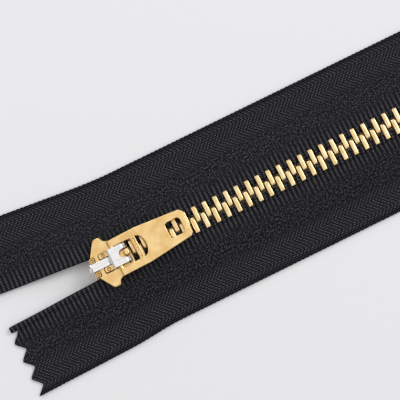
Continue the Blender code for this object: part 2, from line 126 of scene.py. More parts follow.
def lift(x):
    # 1 where slider and stop carry the chain, 0 where a tail lies on the table
    z = zipper
    top = smooth((x - noseX + z["carriedAtNose"] + z["layDown"]) / z["layDown"])
    bottom = smooth((chainEndX + z["carriedAtStop"] + z["layDown"] - x) / z["layDown"])
    return top * bottom


def tapeHeight(x, y):
    rampEnd = zipper["tapeHalf"] - zipper["flatEdge"]
    ramp = smooth((rampEnd - y) / (rampEnd - zipper["levelWidth"]))
    return zipper["tableZ"] + (chainZ - zipper["tableZ"]) * lift(x) * ramp


# modelling by hand, in code

def deselect():
    if bpy.context.object and bpy.context.object.mode != "OBJECT":
        bpy.ops.object.mode_set(mode="OBJECT")
    bpy.ops.object.select_all(action="DESELECT")


def cube(name, low, high):
    deselect()
    low, high = Vector(low), Vector(high)
    bpy.ops.mesh.primitive_cube_add(size=1, location=(low + high) / 2, scale=high - low)
    return settle(name)


def settle(name):
    piece = bpy.context.object
    piece.name = piece.data.name = name
    bpy.ops.object.transform_apply(location=True, rotation=True, scale=True)
    return piece


def fromShape(name, shape):
    mesh = bpy.data.meshes.new(name)
    shape.to_mesh(mesh)
    shape.free()
    piece = bpy.data.objects.new(name, mesh)
    bpy.context.scene.collection.objects.link(piece)
    return piece


def activate(piece):
    deselect()
    piece.select_set(True)
    bpy.context.view_layer.objects.active = piece


def edit(piece):
    activate(piece)
    bpy.ops.object.mode_set(mode="EDIT")


def pick(kind, test):
    # kind is verts, edges or faces, and test says by place or normal which to take
    shape = bmesh.from_edit_mesh(bpy.context.edit_object.data)
    bpy.context.tool_settings.mesh_select_mode = (kind == "verts", kind == "edges", kind == "faces")
    shape.select_mode = {{"verts": "VERT", "edges": "EDGE", "faces": "FACE"}[kind]}
    for group in (shape.faces, shape.edges, shape.verts):
        for item in group:
            item.select = False
    for item in [item for item in getattr(shape, kind) if test(item)]:
        item.select_set(True)
    shape.select_flush_mode()
    bmesh.update_edit_mesh(bpy.context.edit_object.data)


def middle(item):
    return sum((v.co for v in item.verts), Vector()) / len(item.verts)


def cutAcross(at, normal):
    bpy.ops.mesh.select_all(action="SELECT")
    bpy.ops.mesh.bisect(plane_co=at, plane_no=normal)


def pull(**how):
    bpy.ops.mesh.extrude_region_move(TRANSFORM_OT_translate=how)


def finishEdges(piece, width, angle, segments=2):
    activate(piece)
    bpy.ops.object.modifier_add(type="BEVEL")
    bevel = piece.modifiers[-1]
    bevel.width, bevel.segments, bevel.angle_limit = width, segments, math.radians(angle)
    bevel.use_clamp_overlap = True
    bpy.ops.object.modifier_apply(modifier=bevel.name)


def join(piece, other, way):
    # way is UNION or DIFFERENCE; the other shape is used up
    activate(piece)
    bpy.ops.object.modifier_add(type="BOOLEAN")
    boolean = piece.modifiers[-1]
    boolean.operation, boolean.object, boolean.solver = way, other, "EXACT"
    bpy.ops.object.modifier_apply(modifier=boolean.name)
    bpy.data.objects.remove(other)


def shade(piece, angle=35):
    # flat faces stay flat up to their bevels
    activate(piece)
    bpy.ops.object.shade_smooth_by_angle(angle=math.radians(angle))
    bpy.ops.object.modifier_add(type="WEIGHTED_NORMAL")
    weighted = piece.modifiers[-1]
    weighted.keep_sharp = True
    bpy.ops.object.modifier_apply(modifier=weighted.name)


def ready(piece, body, nodes=(), material=None):
    if material:
        piece.data.materials.clear()
        piece.data.materials.append(material)
    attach(piece, body)
    if nodes:
        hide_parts(*nodes)
    return piece


# materials

def colour(hexCode):
    shares = [int(hexCode[k:k + 2], 16) / 255 for k in (0, 2, 4)]
    linear = [s / 12.92 if s <= 0.04045 else ((s + 0.055) / 1.055) ** 2.4 for s in shares]
    return (*linear, 1.0)


def newMaterial(name):
    made = bpy.data.materials.new(name)
    made.use_nodes = True
    return made, made.node_tree, made.node_tree.nodes["Principled BSDF"]


def addNode(tree, kind, settings=None, links=None):
    # settings are the node's own values or, by name or number, its sockets' values
    made = tree.nodes.new(kind)
    for key, value in (settings or {}).items():
        if isinstance(key, str) and hasattr(made, key):
            setattr(made, key, value)
        else:
            made.inputs[key].default_value = value
    for key, source in (links or {}).items():
        tree.links.new(source, made.inputs[key])
    return made


def rampOf(node, stops):
    # stops are (place, hex colour)
    elements = node.color_ramp.elements
    while len(elements) < len(stops):
        elements.new(0.5)
    for element, (place, code) in zip(elements, stops):
        element.position, element.color = place, colour(code)


brassLook = {
    "low": "E6BE7A",
    "high": "F7D79D",
    "roughness": 0.20,
    "paintedCornerShade": "4A2E10",
    "reach": 0.5 * mm,  # how far out of a corner the painted shade comes
    "mottle": 1.6 * mm,  # width of a cloud of slightly different tone
    "scratch": 0.12 * mm,
}


def brass(name, look):
    # polished yellow brass, handled a little: the tone drifts softly and fine dents break its reflections;
    # painted shade, from ambient occlusion of the piece alone, darkens its corners and recesses
    made, tree, shader = newMaterial(name)
    at = addNode(tree, "ShaderNodeTexCoord").outputs["Object"]
    cloud = addNode(tree, "ShaderNodeTexNoise", {"Scale": 1 / look["mottle"], "Detail": 3.0}, {"Vector": at})
    tone = addNode(tree, "ShaderNodeValToRGB", {}, {0: cloud.outputs["Fac"]})
    rampOf(tone, [(0.3, look["low"]), (0.7, look["high"])])
    fine = addNode(tree, "ShaderNodeTexNoise", {"Scale": 1 / look["scratch"], "Detail": 2.0}, {"Vector": at})
    gloss = addNode(tree, "ShaderNodeMapRange", {
        "From Min": 0.3, "From Max": 0.7,
        "To Min": look["roughness"] - 0.05, "To Max": look["roughness"] + 0.08},
        {"Value": cloud.outputs["Fac"]})
    dents = addNode(tree, "ShaderNodeBump", {"Strength": 0.25, "Distance": 0.006 * mm},
                    {"Height": fine.outputs["Fac"]})
    shader.inputs["Metallic"].default_value = 1.0
    # painted shade: ambient occlusion blends the brass towards a dark brown in its own corners and recesses
    shut = addNode(tree, "ShaderNodeAmbientOcclusion", {
        "samples": 8, "only_local": True, "Distance": look["reach"]})
    shadeAmount = addNode(tree, "ShaderNodeMapRange", {"From Min": 0.35, "From Max": 0.85},
                     {"Value": shut.outputs["AO"]})
    cornerShaded = addNode(tree, "ShaderNodeMix", {"data_type": "RGBA", 6: colour(look["paintedCornerShade"])},
                   {0: shadeAmount.outputs["Result"], 7: tone.outputs["Color"]})
    tree.links.new(cornerShaded.outputs[2], shader.inputs["Base Color"])
    tree.links.new(gloss.outputs["Result"], shader.inputs["Roughness"])
    tree.links.new(dents.outputs["Normal"], shader.inputs["Normal"])
    return made


nickelLook = {"low": "E0DEDC", "high": "FDFCFA", "roughness": 0.16, "drawn": 0.25 * mm}


def nickel(name, look):
    # bright nickel plate over rolled spring steel: faint lines along the strip
    made, tree, shader = newMaterial(name)
    at = addNode(tree, "ShaderNodeTexCoord").outputs["Object"]
    along = addNode(tree, "ShaderNodeMapping", {"Scale": (0.08, 1.0, 0.3)}, {"Vector": at})
    lines = addNode(tree, "ShaderNodeTexNoise", {"Scale": 1 / look["drawn"], "Detail": 3.0},
                    {"Vector": along.outputs["Vector"]})
    tone = addNode(tree, "ShaderNodeValToRGB", {}, {0: lines.outputs["Fac"]})
    rampOf(tone, [(0.3, look["low"]), (0.7, look["high"])])
    gloss = addNode(tree, "ShaderNodeMapRange", {
        "From Min": 0.3, "From Max": 0.7,
        "To Min": look["roughness"] - 0.04, "To Max": look["roughness"] + 0.08},
        {"Value": lines.outputs["Fac"]})
    dents = addNode(tree, "ShaderNodeBump", {"Strength": 0.15, "Distance": 0.008 * mm},
                    {"Height": lines.outputs["Fac"]})
    shader.inputs["Metallic"].default_value = 1.0
    tree.links.new(tone.outputs["Color"], shader.inputs["Base Color"])
    tree.links.new(gloss.outputs["Result"], shader.inputs["Roughness"])
    tree.links.new(dents.outputs["Normal"], shader.inputs["Normal"])
    return made


weaveLook = {
    "paintedShadeBetweenThreads": "030304",
    "thread": "1A1A1E",
    "paintedGlint": "55555C",
    "rib": 0.86,  # mm along the tape
    "pick": 0.42,  # mm, one weft thread
    "end": 0.40,  # mm, one warp thread
    "float": 0.58,  # mm, a weft thread's length on the face
    "twill": 0.54,  # mm, one twill line
    "turn": 2.2,  # mm between the herringbone's turns
    "ribsEnd": 4.6,  # mm from the chain's centre line
    "ribsFade": 1.2,  # mm over which one band runs into the next, to each side
    "grainEnd": 9.2,
    "grainFade": 0.7,
    "selvedge": 14.2,
    "selvedgeFade": 0.15,
    "uneven": {"Distortion": 1.1, "Detail": 2.0, "Detail Scale": 1.7},  # of every thread's line
    "fuzz": 3.1,  # thick and thin places per mm of yarn
}


def wovenPolyester(name, look):
    # spun polyester yarn on a narrow loom: ribs beside the chain, a broken grain, then herringbone twill,
    # with a painted glint on single threads and painted shade that keeps the cloth between them nearly black
    made, tree, shader = newMaterial(name)
    at = addNode(tree, "ShaderNodeUVMap", {"uv_map": "weave"}).outputs["UV"]
    parts = addNode(tree, "ShaderNodeSeparateXYZ", {}, {"Vector": at})
    across = parts.outputs["Y"]
    onePeriod = 0.1 * math.pi  # the wave texture's scale for one wave per millimetre
    uneven = look["uneven"]
    pick = addNode(tree, "ShaderNodeTexWave", {"Scale": onePeriod / look["pick"], **uneven}, {"Vector": at})
    end = addNode(tree, "ShaderNodeTexWave", {
        "bands_direction": "Y", "Scale": onePeriod / look["end"], **uneven}, {"Vector": at})
    rib = addNode(tree, "ShaderNodeTexWave", {"Scale": onePeriod / look["rib"], **uneven}, {"Vector": at})
    ribbed = addNode(tree, "ShaderNodeMix", {"data_type": "FLOAT", 0: 0.35},
                     {2: rib.outputs["Fac"], 3: end.outputs["Fac"]})
    # broken grain: floats of weft of uneven length lie across the tape, over the even picks
    stretched = addNode(tree, "ShaderNodeMapping", {
        "Scale": (1 / look["pick"], 1 / look["float"], 1.0)}, {"Vector": at})
    floats = addNode(tree, "ShaderNodeTexNoise", {"Scale": 1.6, "Detail": 1.0},
                     {"Vector": stretched.outputs["Vector"]})
    clear = addNode(tree, "ShaderNodeMapRange", {"From Min": 0.36, "From Max": 0.62},
                    {"Value": floats.outputs["Fac"]})
    knots = addNode(tree, "ShaderNodeMath", {"operation": "MULTIPLY"},
                    {0: pick.outputs["Fac"], 1: end.outputs["Fac"]})
    grain = addNode(tree, "ShaderNodeMix", {"data_type": "FLOAT", 0: 0.28},
                    {2: clear.outputs["Result"], 3: knots.outputs[0]})
    # herringbone: the twill's slant turns back at every few threads
    zigzag = addNode(tree, "ShaderNodeMath", {"operation": "PINGPONG", 1: look["turn"]}, {0: across})
    slanted = addNode(tree, "ShaderNodeCombineXYZ", {}, {"X": parts.outputs["X"], "Y": zigzag.outputs[0]})
    twill = addNode(tree, "ShaderNodeTexWave", {
        "bands_direction": "DIAGONAL", "Scale": 2 * onePeriod / look["twill"] / math.sqrt(2), **uneven},
        {"Vector": slanted.outputs["Vector"]})
    crossed = addNode(tree, "ShaderNodeMix", {"data_type": "FLOAT", 0: 0.50},
                      {2: twill.outputs["Fac"], 3: end.outputs["Fac"]})
    # the three bands, the smooth selvedge, and yarn that is nowhere quite even
    cloth = ribbed
    for edge, fade, band in (("ribsEnd", "ribsFade", grain), ("grainEnd", "grainFade", crossed),
                             ("selvedge", "selvedgeFade", knots)):
        past = addNode(tree, "ShaderNodeMapRange", {
            "From Min": look[edge] - look[fade], "From Max": look[edge] + look[fade]}, {"Value": across})
        cloth = addNode(tree, "ShaderNodeMix", {"data_type": "FLOAT"},
                        {0: past.outputs["Result"], 2: cloth.outputs[0], 3: band.outputs[0]})
    fuzz = addNode(tree, "ShaderNodeTexNoise", {"Scale": look["fuzz"], "Detail": 4.0, "Roughness": 0.7},
                   {"Vector": at})
    thick = addNode(tree, "ShaderNodeMapRange", {
        "From Min": 0.25, "From Max": 0.75, "To Min": 0.45, "To Max": 1.20}, {"Value": fuzz.outputs["Fac"]})
    height = addNode(tree, "ShaderNodeMath", {"operation": "MULTIPLY"},
                     {0: cloth.outputs[0], 1: thick.outputs["Result"]}).outputs[0]
    # the weave's height picks the colour: painted shade in the low places, the thread's own dark grey, and a
    # painted glint on the tops
    tone = addNode(tree, "ShaderNodeValToRGB", {}, {0: height})
    rampOf(tone, [(0.04, look["paintedShadeBetweenThreads"]), (0.42, look["thread"]), (0.90, look["paintedGlint"])])
    relief = addNode(tree, "ShaderNodeBump", {"Strength": 0.8, "Distance": 0.10 * mm}, {"Height": height})
    tree.links.new(tone.outputs["Color"], shader.inputs["Base Color"])
    tree.links.new(relief.outputs["Normal"], shader.inputs["Normal"])
    shader.inputs["Roughness"].default_value = 0.85
    shader.inputs["Specular IOR Level"].default_value = 0.18
    return made


toothBrass = brass("tumbled brass", {**brassLook, "low": "E6C485", "high": "F8DFAE", "roughness": 0.25})
sliderBrass = brass("lacquered die-cast brass", brassLook)
springNickel = nickel("nickel-plated spring steel", nickelLook)
tapeCloth = wovenPolyester("woven polyester tape", weaveLook)
print("materials made")


# soft goods: the two tapes and the cords in their edges

tape = {
    "edgeY": 2.2 * mm,  # inner edge, against the cord
    "thickness": 0.5 * mm,
    "step": 0.215 * mm,  # grid along the tape
    "rows": 40,
    "pinkStart": 2.65 * mm,  # the zigzag's innermost corner
    "pinkSlopes": 7,  # from there to the outer edge
    "pinkDepth": 1.75 * mm,
    "pinkEase": 4.0 * mm,  # the grid evens out over this length
    "pinkBlunt": 0.07,  # share of a slope that the cutter leaves round
    "ribHeight": 0.035 * mm,
    "ribFade": 1.5 * mm,
    "scallop": 0.05 * mm,
    "scallopPitch": 0.86 * mm,
    "scallopWidth": 0.6 * mm,
    "rounding": 0.11 * mm,
}


def pinked(y):
    # depth of the zigzag cut at this distance from the chain's centre line
    slope = (zipper["tapeHalf"] - tape["pinkStart"]) / tape["pinkSlopes"]
    phase = max(0.0, y - tape["pinkStart"]) / slope % 2
    return tape["pinkDepth"] * (math.hypot(1 - phase, tape["pinkBlunt"]) - tape["pinkBlunt"])


def clothPoint(x, y, side):
    rib = tape["ribHeight"] * math.sin(2 * math.pi * x / (weaveLook["rib"] * mm))
    rib *= smooth((weaveLook["ribsEnd"] * mm + tape["ribFade"] / 3 - y) / tape["ribFade"])
    edge = smooth((y - zipper["tapeHalf"] + tape["scallopWidth"]) / tape["scallopWidth"])
    wavy = edge * tape["scallop"] * (math.sin(2 * math.pi * x / tape["scallopPitch"]) - 1)
    return Vector((x, side * (y + wavy + spread(x, side, y)), tapeHeight(x, y) + rib))


def clothTape(name, side):
    columns = round((bottomX - topX) / tape["step"])
    rows = tape["rows"]
    shape = bmesh.new()
    marks = shape.loops.layers.uv.new("weave")
    grid, places = [], {}
    for c in range(columns + 1):
        line = []
        for r in range(rows + 1):
            y = tape["edgeY"] + (zipper["tapeHalf"] - tape["edgeY"]) * r / rows
            x = topX + (bottomX - topX) * c / columns
            cut = pinked(y)
            x += cut * (1 - smooth((x - topX) / tape["pinkEase"]))
            x -= cut * (1 - smooth((bottomX - x) / tape["pinkEase"]))
            vert = shape.verts.new(clothPoint(x, y, side))
            places[vert] = (x / mm, y / mm)
            line.append(vert)
        grid.append(line)
    for a, b in zip(grid, grid[1:]):
        for r in range(rows):
            corners = (a[r], b[r], b[r + 1], a[r + 1])
            face = shape.faces.new(corners if side > 0 else corners[::-1])
            for loop in face.loops:
                loop[marks].uv = places[loop.vert]
    made = fromShape(name, shape)
    activate(made)
    bpy.ops.object.modifier_add(type="SOLIDIFY")
    thick = made.modifiers[-1]
    thick.thickness, thick.offset = tape["thickness"], 0
    bpy.ops.object.modifier_apply(modifier=thick.name)
    finishEdges(made, tape["rounding"], angle=55)
    shade(made, angle=50)
    made.data.materials.append(tapeCloth)
    return made


cordLook = {
    "radius": 0.60 * mm,
    "gripped": 0.50 * mm,  # inside a tooth
    "swollen": 0.92 * mm,  # between two teeth
    "plainEnd": 9.0 * mm,  # unswollen where the slider stands at the bottom
    "fade": 1.0 * mm,
    "short": 0.35 * mm,  # cut back from the tape's ends
    "clear": 0.03 * mm,  # above the table
    "step": 0.269 * mm,
    "sides": 14,
    "cutEnd": (0.86, 0.97),  # shares of the radius at the last two rings
    "wrap": 0.25,  # mm of weave for each side, round the cord
}


def cordPoints(side):
    start, end = topX + cordLook["short"], bottomX - cordLook["short"]
    steps = round((end - start) / cordLook["step"])
    low = cordLook["radius"] + cordLook["clear"]
    for k in range(steps + 1):
        x = start + (end - start) * k / steps
        yield Vector((x, side * (zipper["cordY"] + spread(x, side)), low + (chainZ - low) * lift(x)))


def cordRadius(x, side):
    # the yarn bulges between the teeth that grip it, and lies plain in the tails
    c = cordLook
    toothX = firstToothX + (zipper["pitch"] / 2 if side < 0 else 0)
    between = 0.5 - 0.5 * math.cos(2 * math.pi * (x - toothX) / zipper["pitch"])
    inChain = smooth((x - rearX) / c["fade"]) * smooth((stopX - c["plainEnd"] - x) / c["fade"])
    return c["radius"] + inChain * (c["gripped"] + (c["swollen"] - c["gripped"]) * between - c["radius"])


def beadCord(name, side):
    points = list(cordPoints(side))
    shape = bmesh.new()
    marks = shape.loops.layers.uv.new("weave")
    rings = []
    sides = cordLook["sides"]
    for k, p in enumerate(points):
        along = (points[min(k + 1, len(points) - 1)] - points[max(k - 1, 0)]).normalized()
        across = along.cross(Vector((0, 0, 1))).normalized()
        up = across.cross(along)
        fromEnd = min(k, len(points) - 1 - k)
        radius = cordRadius(p.x, side) * (*cordLook["cutEnd"], 1)[min(fromEnd, 2)]
        ring = []
        for n in range(sides):
            a = 2 * math.pi * n / sides
            ring.append(shape.verts.new(p + radius * (across * math.cos(a) + up * math.sin(a))))
        rings.append(ring)
    for k, (a, b) in enumerate(zip(rings, rings[1:])):
        for n in range(sides):
            face = shape.faces.new((a[n], b[n], b[(n + 1) % sides], a[(n + 1) % sides]))
            for loop, (dk, dn) in zip(face.loops, ((0, 0), (1, 0), (1, 1), (0, 1))):
                loop[marks].uv = (points[k + dk].x / mm, (n + dn) * cordLook["wrap"])
    for ring in (rings[0], rings[-1][::-1]):
        cap = shape.faces.new(ring)
        for loop in cap.loops:
            loop[marks].uv = (loop.vert.co.x / mm, 1.0)
    bmesh.ops.recalc_face_normals(shape, faces=shape.faces)
    made = fromShape(name, shape)
    shade(made, angle=60)
    made.data.materials.append(tapeCloth)
    return made


for word, side in (("left", 1), ("right", -1)):
    cloth = clothTape(f"{word}ClothTape", side)
    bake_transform(cloth)
    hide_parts(f"{word}_tape", f"{word}_tape_foot")
    cord = beadCord(f"{word}BeadCord", side)
    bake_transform(cord)
    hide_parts(f"{word}_bead_cord")
print("tapes and bead cords made")


# teeth and stops

tooth = {
    "thickness": spanOf("left_tooth_20", 0)[1] - spanOf("left_tooth_20", 0)[0],
    "half": (spanOf("left_tooth_20", 2)[1] - spanOf("left_tooth_20", 2)[0]) / 2,
    "reach": spanOf("left_tooth_20", 1)[0],
    "head": 1.15 * mm,
    "end": spanOf("left_tooth_20", 1)[1],
    "slot": 0.75 * mm,  # half the gap between the legs
    "pinch": 0.22 * mm,  # the legs close on the cord by this much
    "chamfer": 0.38 * mm,
    "neck": 0.988 * mm,  # from the head's tip, where the nib ends
    "nib": 0.13 * mm,  # how far it stands out on one face and is sunk in the other
    "nibInset": 0.16 * mm,
    "nibSlope": 0.14 * mm,
    "rounding": 0.14 * mm,
}


def makeTooth(name, t, length, withNib):
    piece = cube(name, (-length / 2, t["reach"], -t["half"]), (length / 2, t["head"], t["half"]))
    edit(piece)
    for z in (-t["slot"], t["slot"]):
        cutAcross((0, 0, z), (0, 0, 1))
    # the two legs, which close a little on the cord at their ends
    knee = (t["head"] + t["end"]) / 2
    pick("faces", lambda f: f.normal.y > 0.9 and abs(middle(f).z) > t["slot"])
    pull(value=(0, knee - t["head"], 0))
    pull(value=(0, t["end"] - knee, 0))
    for way in (-1, 1):
        pick("verts", lambda v: v.co.y > knee + 0.1 * mm and 0 < v.co.z * way < t["slot"] + 0.01 * mm)
        bpy.ops.transform.translate(value=(0, 0, -way * t["pinch"]))
    # rounded head
    pick("edges", lambda e: all(v.co.y < t["reach"] + 0.01 * mm and abs(v.co.z) > t["half"] - 0.01 * mm
                                for v in e.verts))
    bpy.ops.mesh.bevel(offset=t["chamfer"], segments=3, affect="EDGES")
    if withNib:
        neck = t["reach"] + t["neck"]
        cutAcross((0, neck, 0), (0, 1, 0))
        for way, out in ((1, t["nib"]), (-1, -t["nib"])):
            pick("faces", lambda f: f.normal.x * way > 0.9 and middle(f).y < neck
                 and abs(middle(f).z) < t["slot"])
            bpy.ops.mesh.inset(thickness=t["nibInset"], depth=0)
            bpy.ops.mesh.inset(thickness=t["nibSlope"], depth=out)
    bpy.ops.object.mode_set(mode="OBJECT")
    finishEdges(piece, t["rounding"], angle=40)
    shade(piece, angle=40)
    return piece


def copyTo(master, name, x, side, body, nodes, material):
    mesh = master.data.copy()
    mesh.name = name
    if side < 0:
        mesh.transform(Matrix.Scale(-1, 4, (0, 1, 0)))
        mesh.flip_normals()
    turn = Matrix.Rotation(-side * spreadTurn(x, side), 4, "Z")
    mesh.transform(Matrix.Translation((x, side * spread(x, side), chainZ)) @ turn)
    piece = bpy.data.objects.new(name, mesh)
    bpy.context.scene.collection.objects.link(piece)
    return ready(piece, body, nodes, material)


masterTooth = makeTooth("masterTooth", tooth, tooth["thickness"], True)
for word, side in (("left", 1), ("right", -1)):
    for k in range(1, teethPerSide + 1):
        x = firstToothX + (k - 1) * zipper["pitch"] + (zipper["pitch"] / 2 if side < 0 else 0)
        nodes = [f"{word}_tooth_{k:02d}"] if k <= separateTeeth else []
        copyTo(masterTooth, f"{word}Tooth{k:02d}", x, side, f"{word}_side", nodes, toothBrass)
bpy.data.objects.remove(masterTooth)

topStop = {
    **tooth,
    "fromNose": 2.4 * mm,
    "length": 1.6 * mm,
    "half": (spanOf("left_top_stop", 2)[1] - spanOf("left_top_stop", 2)[0]) / 2,
    "reach": 0.65 * mm,
    "chamfer": 0.12 * mm,
    "rounding": 0.16 * mm,
}
masterStop = makeTooth("masterStop", topStop, topStop["length"], False)
for word, side in (("left", 1), ("right", -1)):
    copyTo(masterStop, f"{word}TopStop", noseX + topStop["fromNose"], side, f"{word}_side",
           [f"{word}_top_stop"], toothBrass)
bpy.data.objects.remove(masterStop)

bottomStop = {
    "groove": 0.55 * mm,  # half its width
    "grooveSlope": 0.25 * mm,
    "grooveDepth": 0.22 * mm,
    "corner": 0.66 * mm,
    "rounding": 0.14 * mm,
}


def makeBottomStop(name, b):
    low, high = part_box("bottom_stop")
    piece = cube(name, low, high)
    edit(piece)
    for y in (-b["groove"], b["groove"]):
        cutAcross((0, y, 0), (0, 1, 0))
    # the strip is pressed in along the middle, above and below, so that it grips both cords
    for way in (-1, 1):
        pick("faces", lambda f: f.normal.z * way > 0.9 and abs(middle(f).y) < b["groove"])
        bpy.ops.mesh.inset(thickness=b["grooveSlope"], depth=0)
        bpy.ops.transform.translate(value=(0, 0, -way * b["grooveDepth"]))
    pick("edges", lambda e: all(abs(v.co.y) > high.y - 0.01 * mm for v in e.verts)
         and all(abs(v.co.z - chainZ) > high.z - chainZ - 0.01 * mm for v in e.verts))
    bpy.ops.mesh.bevel(offset=b["corner"], segments=4, affect="EDGES")
    bpy.ops.object.mode_set(mode="OBJECT")
    finishEdges(piece, b["rounding"], angle=35)
    shade(piece, angle=40)
    return piece


ready(makeBottomStop("bottomStop", bottomStop), "bottom_end", ["bottom_stop"], toothBrass)
print("teeth and stops made")


# slider body

slider = {
    "blade": 0.85 * mm,
    "noseHalf": 1.6 * mm,
    "noseCorner": 0.4 * mm,
    "wingStart": 2.4 * mm,  # from the nose
    "wingEnd": 3.4 * mm,
    "shoulder": 0.5 * mm,  # length of the round before the wings, and its drop
    "shoulderDrop": 0.45 * mm,
    "neck": 5.9 * mm,
    "flare": 1.5 * mm,
    "flareAngles": (0, 14, 28, 44, 60, 76, 90),  # steps of the round from wing to neck
    "wall": 0.38 * mm,
    "rearCorner": 0.5 * mm,
    "slotHalf": 0.68 * mm,
    "rounding": 0.22 * mm,
    "edge": 0.05 * mm,
    "wedgeHalf": 0.38 * mm,
    "wedgeStart": 0.12 * mm,
    "wedgeTaper": 0.55,  # share of the wedge's length where its point begins
    "wedgeTip": 0.03 * mm,
    "wedgeLength": 2.4 * mm,
}
overcut = 2 * mm  # how far a cutter stands out of what it cuts


def bodyHalfWidth(x):
    s = slider
    rearHalf = wingHalf - s["flare"]
    shoulderStart = s["wingStart"] - s["shoulder"]
    if x < s["noseCorner"]:
        return s["noseHalf"] + x
    if x < shoulderStart:
        low = s["noseHalf"] + s["noseCorner"]
        t = (x - s["noseCorner"]) / (shoulderStart - s["noseCorner"])
        return low + t * (wingHalf - s["shoulderDrop"] - low)
    if x < s["wingStart"]:
        t = (s["wingStart"] - x) / s["shoulder"]
        return wingHalf - s["shoulderDrop"] * t * t
    if x <= s["wingEnd"]:
        return wingHalf
    if x < s["neck"]:
        t = (s["neck"] - x) / (s["neck"] - s["wingEnd"])
        return wingHalf - s["flare"] * math.sqrt(max(0.0, 1 - t * t))
    length = rearX - noseX
    if x > length - s["rearCorner"]:
        t = (x - length + s["rearCorner"]) / s["rearCorner"]
        return rearHalf - s["rearCorner"] * (1 - math.sqrt(max(0.0, 1 - t * t)))
    return rearHalf


def outlined(name, stations, halfWidth, low, high):
    # a block from station to station along X, each station pulled to its own half width
    widest = max(halfWidth(x) for x in stations)
    piece = cube(name, (stations[0], -widest, low), (stations[-1], widest, high))
    edit(piece)
    for x in stations[1:-1]:
        cutAcross((x, 0, 0), (1, 0, 0))
    for x in stations:
        pick("verts", lambda v: abs(v.co.x - x) < 0.004 * mm)
        bpy.ops.transform.resize(value=(1, halfWidth(x) / widest, 1), center_override=(x, 0, 0))
    bpy.ops.mesh.select_all(action="DESELECT")
    return piece


def roundRim(piece, level, width, segments, below=False):
    # the outline's own edge at one level: edges with one flat face and one side face
    way = -1 if below else 1
    pick("edges", lambda e: all(abs(v.co.z - level) < 0.004 * mm for v in e.verts)
         and sum(f.normal.z * way > 0.9 for f in e.link_faces) == 1)
    bpy.ops.mesh.bevel(offset=width, segments=segments, affect="EDGES")


def makeSlider(name, s):
    length = rearX - noseX
    flareLength = s["neck"] - s["wingEnd"]
    arcStations = [s["neck"] - flareLength * math.cos(math.radians(a)) for a in s["flareAngles"]]
    stations = [0.0, s["noseCorner"]]
    stations += [s["wingStart"] - f * s["shoulder"] for f in (1.0, 0.5, 0.0)]
    stations += arcStations
    stations += [length - s["rearCorner"] * f for f in (1.0, 0.5, 0.15, 0.0)]
    piece = outlined(name, stations, bodyHalfWidth, 0.0, bodyTop)
    roundRim(piece, bodyTop, s["rounding"], 3)
    roundRim(piece, 0.0, s["rounding"], 3, below=True)
    bpy.ops.object.mode_set(mode="OBJECT")

    # channel for the chain and slot for the tapes, either side of the wedge
    channelHalf = chainZ - s["blade"]

    def channelWidth(x):
        return bodyHalfWidth(min(max(x, s["wingEnd"]), length - s["rearCorner"])) - s["wall"]

    inside = [-overcut, *arcStations, length + overcut]
    channel = outlined("channel", inside, channelWidth, chainZ - channelHalf, chainZ + channelHalf)
    bpy.ops.object.mode_set(mode="OBJECT")
    slotLow = (-overcut, -2 * wingHalf, chainZ - s["slotHalf"])
    slot = cube("slot", slotLow, (length + overcut, 2 * wingHalf, chainZ + s["slotHalf"]))
    join(piece, channel, "DIFFERENCE")
    join(piece, slot, "DIFFERENCE")

    taperStart = s["wedgeTaper"] * s["wedgeLength"]

    def wedgeWidth(x):
        if x < taperStart:
            return s["wedgeHalf"]
        return max(s["wedgeTip"], s["wedgeHalf"] * (s["wedgeLength"] - x) / (s["wedgeLength"] - taperStart))

    wedgeStations = [s["wedgeStart"], taperStart, 0.8 * s["wedgeLength"], s["wedgeLength"]]
    wedge = outlined("wedge", wedgeStations, wedgeWidth, s["blade"] / 2, bodyTop - s["blade"] / 2)
    bpy.ops.object.mode_set(mode="OBJECT")
    join(piece, wedge, "UNION")
    finishEdges(piece, s["edge"], angle=50, segments=1)
    return piece


lug = {
    "innerY": 0.87 * mm,
    "outerY": 1.78 * mm,
    "start": 1.95 * mm,
    "end": 3.45 * mm,
    "height": 0.80 * mm,
    "noseStart": 0.15 * mm,
    "noseEnd": 0.95 * mm,
    "noseHeight": 0.35 * mm,
    "corner": 0.24 * mm,
    "edge": 0.05 * mm,
    "punch": 0.46,  # its radius as a share of the lug's width
    "moat": 0.17 * mm,
    "moatCorner": 0.3 * mm,
    "moatDepth": 0.32 * mm,
    "root": 0.1 * mm,  # sunk below the moat's floor
}


def lugBlock(name, low, high, corner):
    piece = cube(name, low, high)
    edit(piece)
    pick("edges", lambda e: abs(e.verts[0].co.z - e.verts[1].co.z) > 0.1 * mm)
    bpy.ops.mesh.bevel(offset=corner, segments=3, affect="EDGES")
    bpy.ops.object.mode_set(mode="OBJECT")
    return piece


def addLug(target, x0, x1, y0, y1, height):
    # a cast lug in a shallow moat, its top struck in with a round punch
    y0, y1 = sorted((y0, y1))
    floor, edge = bodyTop - lug["moatDepth"], lug["moat"]
    moat = lugBlock("moat", (x0 - edge, y0 - edge, floor), (x1 + edge, y1 + edge, bodyTop + overcut),
                    lug["moatCorner"])
    join(target, moat, "DIFFERENCE")
    block = lugBlock("lug", (x0, y0, floor - lug["root"]), (x1, y1, bodyTop + height), lug["corner"])
    deselect()
    radius = lug["punch"] * min(x1 - x0, y1 - y0)
    bpy.ops.mesh.primitive_uv_sphere_add(
        segments=24, ring_count=12, radius=radius,
        location=((x0 + x1) / 2, (y0 + y1) / 2, bodyTop + height + 0.25 * radius))
    join(block, settle("punch"), "DIFFERENCE")
    finishEdges(block, lug["edge"], angle=50)
    join(target, block, "UNION")


hook = {
    "start": 6.35 * mm,
    "end": 7.4 * mm,
    "half": 0.6 * mm,
    "root": 0.3 * mm,
    "height": 1.75 * mm,
    "rounding": 0.26 * mm,
}


